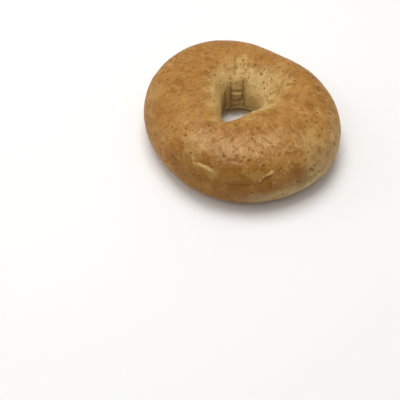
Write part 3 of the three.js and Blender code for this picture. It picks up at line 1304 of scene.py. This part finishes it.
# %% [markdown]
# ### Bran, freckles, flour and painted glints
# Round flakes of bran and dashes drawn out along the spokes lie in small pits. Between them are
# pepper-fine specks, which the hole's pale wall shows less. Broad, faint freckles show where bran
# lies under the skin, and pale flecks are partly dry flour and partly painted glints. They are the
# same specks in other sizes.

# %% Kinds of specks
DASH_STRETCH = 1.7
DASH_STRAY_REACH = 1.2
WALL_BRAN_STRENGTH = 0.5
BRAN_STRENGTH = 0.78
FINE_STRENGTH = 0.64
FINE_LOST_IN_HOLE = 0.34
FRECKLE_STRENGTH = 0.55
PALE_FLECK_AND_GLINT_STRENGTH = 0.38

dash_place = strayed(
    looks, crust_place, reach=DASH_STRAY_REACH, onto=along_spokes(DASH_STRETCH), **SPECK_STRAY
)
flakes = specks(spacing=3.1, radius=0.66, share=crinkle_share, seed=170.0)
dashes = specks(spacing=2.6, radius=0.5, share=bran_share, seed=410.0, at=dash_place)
wall_bran = specks(spacing=1.9, radius=0.52, share=wall_share, seed=530.0)
faint_wall_bran = combined(looks, "MULTIPLY", wall_bran, WALL_BRAN_STRENGTH)
bran_pits = combined(looks, "MAXIMUM", flakes, dashes, faint_wall_bran)
fine_depth = add(
    looks,
    "ShaderNodeMath",
    {0: hole_pale, 1: -FINE_LOST_IN_HOLE, 2: FINE_STRENGTH},
    operation="MULTIPLY_ADD",
)
fine_specks = specks(spacing=2.1, radius=0.42, share=0.55, seed=190.0)
fine_share = combined(looks, "MULTIPLY", fine_specks, fine_depth)
pit_share = combined(looks, "MULTIPLY", bran_pits, BRAN_STRENGTH)
freckles = specks(spacing=6.5, radius=1.2, share=0.55, seed=610.0)
pale_flecks_and_glints = specks(spacing=2.4, radius=0.34, share=0.5, seed=230.0)
coats += [
    ("bran", combined(looks, "MULTIPLY", freckles, FRECKLE_STRENGTH)),
    ("bran", combined(looks, "MAXIMUM", pit_share, fine_share)),
    # Pale flecks: partly dry flour, partly painted glints.
    ("inner dough", combined(looks, "MULTIPLY", pale_flecks_and_glints, PALE_FLECK_AND_GLINT_STRENGTH)),
]
print("coats so far", len(coats))

# %% [markdown]
# ### Torn lips, folds and creases
# The marks stored by the relief colour the same places that it shaped, so the colour can't slip
# off the shape as a painted one could. A torn lip shows the pale dough from inside and a fold's
# ridge is rubbed lighter. Creases and the seam's grooves and hollow are painted darker, as painted
# shade in their hollows.

# %% Colours of the marks: a mark, its colour and its strength
MARK_COLOURS = [
    ("shrink line", "straw", 0.1),
    ("tear", "inner dough", 1.0),
    ("fold", "straw", 0.33),
    # Painted shade in the creases, and in the seam's hollow and grooves below.
    ("crease", "deep brown", 0.45),
    ("seam hollow", "painted wall shade", 0.35),
    ("seam groove", "painted wall shade", 0.65),
]
for mark_name, colour, strength in MARK_COLOURS:
    mark = add(looks, "ShaderNodeAttribute", give="Fac", attribute_name=mark_name)
    coats += [(colour, combined(looks, "MULTIPLY", mark, strength))]
print("marked in colour", [mark_name for mark_name, colour, strength in MARK_COLOURS])

# %% [markdown]
# ### Laying the coats
# Baking laid the colours one over another, and so does this loop. It starts with the gold that
# the whole skin took, and each coat covers what lies under it by its share.

# %% All coats over gold
finished_colour = CRUST_COLOURS["golden"]
for colour, share in coats:
    finished_colour = add(
        looks,
        "ShaderNodeMix",
        {0: share, 6: finished_colour, 7: CRUST_COLOURS[colour]},
        give=2,
        data_type="RGBA",
    )
print("laid", len(coats), "coats over gold")

# %% [markdown]
# ### Grain, pinheads and bran pits
# The skin also has relief finer than the mesh can hold: a grain, pinhead blisters, and a small
# pit round each flake of bran. More polygons would cost memory for what only the shine shows, so
# these go into a bump, in real heights of a few tenths of a millimetre.

# %% Bumps, each on top of the last
fine_relief = {
    "grain": (clouds(size=1.4, detail=3.0, seed=29.0, roughness=0.6), 0.29),
    "pinheads": (specks(spacing=2.2, radius=0.8, share=0.8, seed=310.0), 0.18),
    "bran pits": (bran_pits, -0.25),
}
bump = None
for height, millimetres in fine_relief.values():
    raised_by = {"Strength": 1.0, "Distance": millimetres * MM, "Height": height}
    below = {"Normal": bump} if bump else {}
    bump = add(looks, "ShaderNodeBump", {**raised_by, **below})
print("bumps in millimetres", {name: by for name, (height, by) in fine_relief.items()})

# %% [markdown]
# ### Satin skin
# The gel skin is half glossy with a thin, clearer film on top. It is matt low down and on the far
# side, where it dried, and at each flake of bran. A varnish would shine evenly all over, so the
# roughness and the film follow the height, the side and the specks.

# %% Roughness and film
SATIN_EDGE = (0.3, 0.7, 0.31, 0.43)
GLOSSY_EDGE = (-12.0, 14.0)
FAR_MATT = 0.2
MATT_BELOW = 18.0
SHINY_ABOVE = 28.0
LOW_MATT = 0.3
BRAN_MATT = 0.3
FILM_WEIGHT = 0.1
FILM_LOST_AT_BRAN = 0.9

satin = clouds(size=MOTTLE_SIZE, detail=2.0, seed=31.0, edge=SATIN_EDGE)
glossy_side = eased(looks, (reach_towards(FRONT_SIDE), *GLOSSY_EDGE))
far_matt = add(
    looks, "ShaderNodeMath", {0: glossy_side, 1: -FAR_MATT, 2: FAR_MATT}, operation="MULTIPLY_ADD"
)
low_matt = eased(looks, (height_up, SHINY_ABOVE, MATT_BELOW, 0.0, LOW_MATT))
dried = combined(looks, "ADD", satin, low_matt, far_matt)
shine = add(
    looks, "ShaderNodeMath", {0: bran_pits, 1: BRAN_MATT, 2: dried}, operation="MULTIPLY_ADD"
)
film_high = eased(looks, (height_up, MATT_BELOW, SHINY_ABOVE, 0.0, FILM_WEIGHT))
film_whole = add(
    looks, "ShaderNodeMath", {0: bran_pits, 1: -FILM_LOST_AT_BRAN, 2: 1.0}, operation="MULTIPLY_ADD"
)
film = combined(looks, "MULTIPLY", film_high, glossy_side, film_whole)
print("shiny above", SHINY_ABOVE, "mm and matt below", MATT_BELOW, "mm")

# %% [markdown]
# ### The shader
# One Principled shader holds the skin. Its index of refraction is near that of set starch. The
# shine is tinted slightly warm, as on all browned food, and a weak, rough sheen stands for the
# dry starch on it, which lightens the skin where it turns away.

# %% Principled shader of the skin
STARCH_IOR = 1.45
FILM_ROUGHNESS = 0.24
DRY_STARCH = 0.12
DRY_STARCH_ROUGHNESS = 0.35

skin = add(
    looks,
    "ShaderNodeBsdfPrincipled",
    {
        "Base Color": finished_colour,
        "Roughness": shine,
        "Normal": bump,
        "Coat Normal": bump,
        "IOR": STARCH_IOR,
        "Specular IOR Level": 0.5,
        "Specular Tint": linear("#FFEAD4"),
        "Coat Weight": film,
        "Coat Roughness": FILM_ROUGHNESS,
        "Sheen Weight": DRY_STARCH,
        "Sheen Roughness": DRY_STARCH_ROUGHNESS,
        "Sheen Tint": linear("#FFDCB0"),
    },
)
add(looks, "ShaderNodeOutputMaterial", {"Surface": skin})
print("crust nodes", len(looks.nodes))

# %% [markdown]
# ## Growing the crust
# The tree goes on the quad copy as a modifier. It could stay there, but then it would be computed
# again with every change. So its inputs are set by their identifiers, and the evaluated result is
# taken as a plain mesh.

# %% The finished bagel's mesh
growth = bagel.modifiers.new("crust relief", "NODES")
growth.node_group = relief
wanted = {**RELIEF_SIZES, "Seed": float(RELIEF_SEED), "Levels": RELIEF_LEVELS, "Crust": crust}
for socket in relief.interface.items_tree:
    if socket.in_out == "INPUT" and socket.name in wanted:
        growth[socket.identifier] = wanted[socket.name]

evaluated = bagel.evaluated_get(bpy.context.evaluated_depsgraph_get())
grown = bpy.data.meshes.new_from_object(evaluated)
bagel.modifiers.remove(growth)
bagel.data = grown
triangles = sum(len(face.vertices) - 2 for face in grown.polygons)
print("crust triangles", triangles, "materials", [m.name for m in grown.materials])

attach(bagel, "root")
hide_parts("bagel")

# %% [markdown]
# ## The table
# The bagel lies on a pale table. It is painted matt white, and matt paint scatters light evenly,
# so it gives the eye a plain ground and lights the underside softly. A curved backdrop would do
# as well, but a wide plane is enough for a view from above.

# %% Pale table
TABLE_SIZE = 6.0
TABLE_DROP = 0.05 * MM
TABLE_ROUGHNESS = 0.9

table_colour = bpy.data.materials.new("matt white table paint")
table_colour.use_nodes = True
table_paint = table_colour.node_tree.nodes["Principled BSDF"]
table_paint.inputs["Base Color"].default_value = linear("#F7F6F5")
table_paint.inputs["Roughness"].default_value = TABLE_ROUGHNESS
bpy.ops.mesh.primitive_plane_add(size=TABLE_SIZE, location=(0, 0, -TABLE_DROP))
table = bpy.context.object
table.name = "table"
table.data.materials.append(table_colour)
print("table", TABLE_SIZE, "m wide")

# %% [markdown]
# ## Softboxes
# Food is lit from behind and above, so that its surface catches a soft edge of shine towards the
# viewer. A lamp could be dragged into place, but directions are easier to compare: each softbox is
# placed as in a studio, by how far round, how high up and how far away it stands, and how wide it
# is. The wide key does the work, and two weaker boxes open the shadows.

# %% Key, fill and side light
SOFTBOXES = {
    "key": {"around": 112, "up": 78, "away": 0.9, "wide": 0.5, "watts": 5.3},
    "fill": {"around": 225, "up": 58, "away": 1.0, "wide": 0.5, "watts": 1.15},
    "side": {"around": 172, "up": 36, "away": 1.0, "wide": 0.5, "watts": 0.8},
}


def softbox(name, around, up, away, wide, watts):
    """A square area light that faces the bagel."""
    lamp = bpy.data.lights.new(name, "AREA")
    lamp.size = wide
    lamp.energy = watts
    box = bpy.data.objects.new(name, lamp)
    flat = math.cos(math.radians(up))
    towards = Vector(
        (
            flat * math.cos(math.radians(around)),
            flat * math.sin(math.radians(around)),
            math.sin(math.radians(up)),
        )
    )
    box.location = towards * away
    box.rotation_euler = towards.to_track_quat("Z", "Y").to_euler()
    bpy.context.scene.collection.objects.link(box)
    return box


for name, stand in SOFTBOXES.items():
    print(name, "in metres", tuple(round(v, 3) for v in softbox(name, **stand).location))

# %% [markdown]
# ## The room
# A pale room fills what the softboxes leave. An evenly bright one would wash out the front, so
# it is dimmer on the viewer's side, and the near side of the bagel keeps its shade. The view is
# shown without a contrast curve, so that the browns stay as they were chosen.

# %% Pale room
ROOM_LIGHT = 0.44
VIEWER_SIDE_LIGHT = 0.24
VIEWER_SIDE = -0.75
FAR_SIDE = 0.1

room = bpy.data.worlds.new("pale room")
room.use_nodes = True
room.node_tree.nodes.clear()
direction = add(room.node_tree, "ShaderNodeTexCoord", give="Generated")
from_viewer = add(room.node_tree, "ShaderNodeSeparateXYZ", {0: direction}, give="Y")
brightness = eased(
    room.node_tree, (from_viewer, VIEWER_SIDE, FAR_SIDE, VIEWER_SIDE_LIGHT, ROOM_LIGHT)
)
walls = add(
    room.node_tree,
    "ShaderNodeBackground",
    {"Color": linear("#FBFAF8"), "Strength": brightness},
)
add(room.node_tree, "ShaderNodeOutputWorld", {"Surface": walls})
bpy.context.scene.world = room
bpy.context.scene.view_settings.view_transform = "Standard"
print("room light from", VIEWER_SIDE_LIGHT, "to", ROOM_LIGHT)

# %% [markdown]
# ## The camera
# The viewer stands in front and looks down on the bagel, which lies off to the upper right of the
# frame's middle. The camera could be nudged until it fits. Instead its place is worked out from
# the angle, the distance, and the pixel at which the bagel's middle should appear.

# %% Camera from its angle and the bagel's place in the frame
LOOK_DOWN = 54.0
FIELD_OF_VIEW = 26.0
SENSOR = 36.0
FRAME_PIXELS = 400
BAGEL_PIXEL = (240.0, 119.0)
BAGEL_POINT = Vector((-0.765, -2.57, 15.0)) * MM
BAGEL_DEPTH = 470.0 * MM

camera_data = bpy.data.cameras.new("viewer")
camera_data.sensor_width = SENSOR
camera_data.lens = SENSOR / (2 * math.tan(math.radians(FIELD_OF_VIEW / 2)))
camera = bpy.data.objects.new("viewer", camera_data)
camera.rotation_euler = (math.radians(90 - LOOK_DOWN), 0, 0)
turn = camera.rotation_euler.to_matrix()
pixel_metres = BAGEL_DEPTH * SENSOR / camera_data.lens / FRAME_PIXELS
seen_at = Vector(
    (
        (BAGEL_PIXEL[0] - FRAME_PIXELS / 2) * pixel_metres,
        (FRAME_PIXELS / 2 - BAGEL_PIXEL[1]) * pixel_metres,
        -BAGEL_DEPTH,
    )
)
camera.location = BAGEL_POINT - turn @ seen_at
bpy.context.scene.collection.objects.link(camera)
bpy.context.scene.camera = camera
print("camera at", tuple(round(v / MM, 1) for v in camera.location), "mm")
